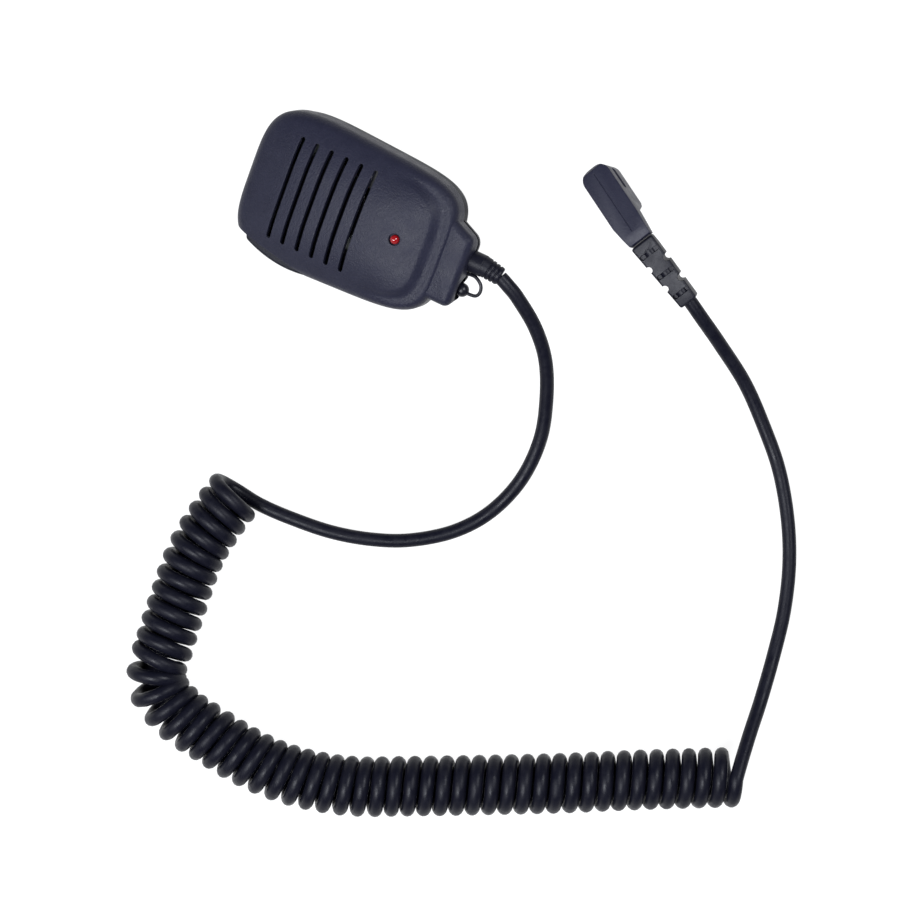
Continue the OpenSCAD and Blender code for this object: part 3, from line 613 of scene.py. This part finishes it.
body = prism("plug_case", plug_plan(), -PLUG_H, PLUG_H)
YZ = Matrix(((0, 0, 1, 0), (1, 0, 0, 0), (0, 1, 0, 0), (0, 0, 0, 1)))
combine(body, move(prism("side", plug_side(), -PLUG_W, PLUG_W), YZ), "INTERSECT")
bevel(body, 0.8, 4, 30)
for side in (-1, 1):
    hold = [Vector((side * (PLUG_W / 2 + 1.2), y, 0.6)) for y in (4.5, 10.5)]
    cut(body, ball_hull("thumb", [(hold[0], 1.75), (hold[1], 1.75)]))
seam = prism("seam", [(-0.12, -11), (0.12, -11), (0.12, 12.4), (-0.12, 12.4)], PLUG_H / 2 - 0.12, PLUG_H)
cut(body, seam)
piece(body, PLUG, "case", "plug_plastic", ["plug_body"], smooth=30)

RELIEF_L = 25
relief = prism("plug_relief", [(-3.2, -RELIEF_L), (3.2, -RELIEF_L), (4.3, 0), (-4.3, 0)], -10, 10)
combine(relief, move(prism("side", [(0, -1.4), (0, 2), (-RELIEF_L, 2.8), (-RELIEF_L, -2.8), (-3, -2.4)],
                           -10, 10), YZ), "INTERSECT")
bevel(relief, 0.7, 4, 30)
for y in (-8.8, -16.8):
    for side in (-1, 1):
        beside = Matrix.Translation((side * (4.2 + 0.05 * y), y, 0))
        cut(relief, move(rod("notch", 1.2, -10, 10, 32), beside))
for y in (-4.3, -12.7, -20.8):
    ring = oval(3.2 + 0.04 * y, y, 0.6, 0.75, 18)
    cut(relief, prism("window_top", ring, 1.3, 10), prism("window_low", ring, -10, -1.3))
core = move(rod("core", 2.2, 3, RELIEF_L - 1), Matrix.Rotation(math.radians(90), 4, "X"))
join(relief, core)
drop = Matrix.Rotation(math.radians(20), 4, "X")
RELIEF_AT = Matrix.Translation((0.2, -PLUG_L / 2 - 0.4, PLUG_H / 2 - PLUG_THIN / 2 - 0.5)) @ drop
piece(relief, PLUG @ RELIEF_AT, "case", "relief_rubber", ["plug_strain_relief"], smooth=30)

# ---------------------------------------------------------------- cord

CORD_R, COIL_R, TURNS = 2.35, 7.65, 50.5
TIGHT_PITCH, SWAY, BEND_REACH = 4.8, 0.22, 16
HEAD_ROUTE = [(-4.2, -44.1, 36.4), (-5.9, -47.5, 36), (-8.5, -52, 34.5), (-15, -60.5, 30),
              (-23.5, -67.5, 24.5), (-35, -72.5, 18), (-48, -75.5, 12), (-62.5, -74.5, 7.5),
              (-76, -69, 4.5), (-86.5, -60, 3), (-94.5, -47.5, 2.4), (-99, -35, 2.4),
              (-101.5, -21.5, 2.4), (-102, -7, 2.4), (-101.5, 3.5, 2.4)]
COIL_ROUTE = [(-100, 11.5, 10), (-110.5, 14.5, 10), (-120.5, 16.5, 10), (-129, 17, 10),
              (-139.5, 16.5, 10), (-150, 16, 10), (-156.5, 15.5, 10), (-164, 15, 10),
              (-170.5, 11.5, 10), (-175.5, 2, 10), (-178, -9.5, 10), (-180, -20, 10), (-181, -31, 10),
              (-180.5, -41.5, 10), (-178.5, -53, 10), (-175.5, -63, 10), (-171.5, -73, 10),
              (-163, -94, 10), (-151, -123, 10), (-140.5, -147, 10), (-128.5, -175.5, 10)]
PLUG_ROUTE = [(-114.5, -175, 12), (-102, -175, 6.5), (-86.5, -174, 3), (-71.5, -172, 2.4),
              (-56.5, -168, 2.4), (-42.5, -162, 2.4), (-28.5, -153.5, 2.8), (-17, -143.5, 4.5),
              (-6, -132, 8.5), (2.5, -119.5, 14.5), (8, -110.5, 19.5), (11.8, -104.5, 21.6),
              (13.5, -101.5, 21.9)]


def coil_points(per_turn=26):
    """The cord's middle line round the coil's own line: left-handed, floor level at first, top at last.
    Where the line bends, the turns stand further apart along it, because they touch on the inner side."""
    line = smooth_curve(COIL_ROUTE, 24)
    n = len(line)
    step = [(line[i + 1] - line[i]).length for i in range(n - 1)]
    bend = [0.0] * n
    for i in range(1, n - 1):
        turn = (line[i + 1] - line[i]).angle(line[i] - line[i - 1])
        bend[i] = turn / ((step[i] + step[i - 1]) / 2)
    near = [bend[max(0, i - BEND_REACH):i + BEND_REACH + 1] for i in range(n)]
    bend = [sum(values) / len(values) for values in near]
    room = [TIGHT_PITCH / max(0.84, 1 - 0.7 * COIL_R * b) for b in bend]
    pitch = 5.0
    for _ in range(40):
        total = [0.0]
        for i in range(n - 1):
            total.append(total[-1] + step[i] / max(pitch, room[i]))
        pitch *= total[-1] / TURNS
    total = [t * TURNS / total[-1] for t in total]
    sway = [random.uniform(-1, 1) for _ in range(int(TURNS) + 3)]
    made = []
    i = 0
    for k in range(int(TURNS * per_turn) + 1):
        t = k / per_turn
        while i < n - 2 and total[i + 1] < t:
            i += 1
        f = (t - total[i]) / (total[i + 1] - total[i])
        centre = line[i].lerp(line[i + 1], f)
        along = (line[min(i + 2, n - 1)] - line[max(i - 1, 0)]).normalized()
        side = along.cross(Vector((0, 0, 1))).normalized()
        a = math.radians(-90 + 360 * t)
        whole = int(t)
        shift = SWAY * (sway[whole] * (1 - (t - whole)) + sway[whole + 1] * (t - whole))
        made.append(centre + along * shift * math.sin(math.pi * min(1, t, TURNS - t))
                    + COIL_R * (math.cos(a) * side + math.sin(a) * Vector((0, 0, 1))))
    return made


coil = coil_points()
lead_in = smooth_curve(HEAD_ROUTE + [tuple(coil[0]), tuple(coil[3])], 8)[:-8]
lead_out = smooth_curve([tuple(coil[-4]), tuple(coil[-1])] + PLUG_ROUTE, 8)[8:]
path = [p * MM for p in lead_in[:-1] + coil + lead_out[1:]]
line = bpy.data.curves.new("cord", "CURVE")
line.dimensions = "3D"
line.bevel_depth = CORD_R * MM
line.bevel_resolution = 5
line.use_fill_caps = True
spline = line.splines.new("POLY")
spline.points.add(len(path) - 1)
for point, p in zip(spline.points, path):
    point.co = (*p, 1)
spline.use_smooth = True
cord = bpy.data.objects.new("cord", line)
scene.collection.objects.link(cord)
line.materials.append(FINISH["cord_jacket"])
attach(cord, "case")
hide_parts("head_cord", "coil_cord", "plug_cord")

# ---------------------------------------------------------------- floor

floor = mesh_of("floor", [(-3, -3, 0), (3, -3, 0), (3, 3, 0), (-3, 3, 0)], [(0, 1, 2, 3)])
floor.location.z = -0.0001
floor.data.materials.append(surface("floor_white", (0.16, 0.16, 0.16), 0.9, grain=4, bump=0.02,
                                    mottle=0.01, patch=60, specular=0.2))
set_input(floor.data.materials[0], Emission_Color=(1, 1, 1, 1), Emission_Strength=0.92)
